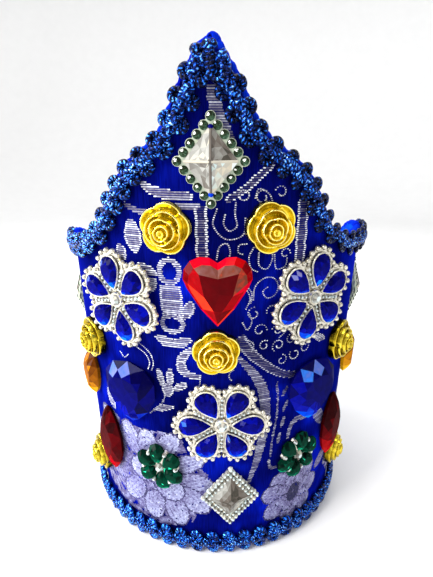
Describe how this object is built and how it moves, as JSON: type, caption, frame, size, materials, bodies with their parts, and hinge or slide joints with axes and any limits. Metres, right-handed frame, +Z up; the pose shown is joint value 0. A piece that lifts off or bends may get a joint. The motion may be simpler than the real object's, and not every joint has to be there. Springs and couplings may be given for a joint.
{
  "type": "orisha crown",
  "caption": "Tall stiff crown of blue brocade with a pointed front, metallic braid edges, gold roses, jewelled blossoms, diamonds and faceted stones.",
  "frame": {"origin": "middle of the part's outline from above, at the floor under the hem braid's loops", "axes": "+Z up along the tube, -Y towards the front, where the tall point stands, +X to the right as seen from the front"},
  "size_m": [0.1462, 0.1455, 0.2057],
  "materials": {
    "brocade": "stiffened satin brocade with woven silver ornament",
    "blue_braid": "coiled metallic thread, glittering",
    "gold": "metallised gold, polished",
    "silver_setting": "metallised champagne silver, beaded",
    "clear_crystal": "faceted and foil-backed",
    "blue_glass": "faceted and foil-backed",
    "red_glass": "faceted and foil-backed",
    "amber_glass": "faceted and foil-backed",
    "green_glass": "faceted and foil-backed"
  },
  "bodies": {
    "root": {"crown_wall": "brocade", "top_braid": "blue_braid", "hem_braid": "blue_braid", "rose_upper_left": "gold", "rose_upper_right": "gold", "rose_middle": "gold", "rose_side_left": "gold", "rose_side_right": "gold", "rose_low_left": "gold", "rose_low_right": "gold", "blossom_left_setting": "silver_setting", "blossom_left_stone_1": "blue_glass", "blossom_left_stone_2": "blue_glass", "blossom_left_stone_3": "blue_glass", "blossom_left_stone_4": "blue_glass", "blossom_left_stone_5": "blue_glass", "blossom_left_stone_6": "blue_glass", "blossom_right_setting": "silver_setting", "blossom_right_stone_1": "blue_glass", "blossom_right_stone_2": "blue_glass", "blossom_right_stone_3": "blue_glass", "blossom_right_stone_4": "blue_glass", "blossom_right_stone_5": "blue_glass", "blossom_right_stone_6": "blue_glass", "blossom_front_setting": "silver_setting", "blossom_front_stone_1": "blue_glass", "blossom_front_stone_2": "blue_glass", "blossom_front_stone_3": "blue_glass", "blossom_front_stone_4": "blue_glass", "blossom_front_stone_5": "blue_glass", "blossom_front_stone_6": "blue_glass", "diamond_top_frame": "silver_setting", "diamond_top_stone": "clear_crystal", "diamond_bottom_frame": "silver_setting", "diamond_bottom_stone": "clear_crystal", "diamond_side_left_frame": "silver_setting", "diamond_side_left_stone": "clear_crystal", "diamond_side_right_frame": "silver_setting", "diamond_side_right_stone": "clear_crystal", "heart_stone": "red_glass", "blue_drop_left": "blue_glass", "amber_drop_left": "amber_glass", "red_drop_left": "red_glass", "green_cluster_left": "green_glass", "blue_drop_right": "blue_glass", "amber_drop_right": "amber_glass", "red_drop_right": "red_glass", "green_cluster_right": "green_glass"}
  },
  "joints": []
}
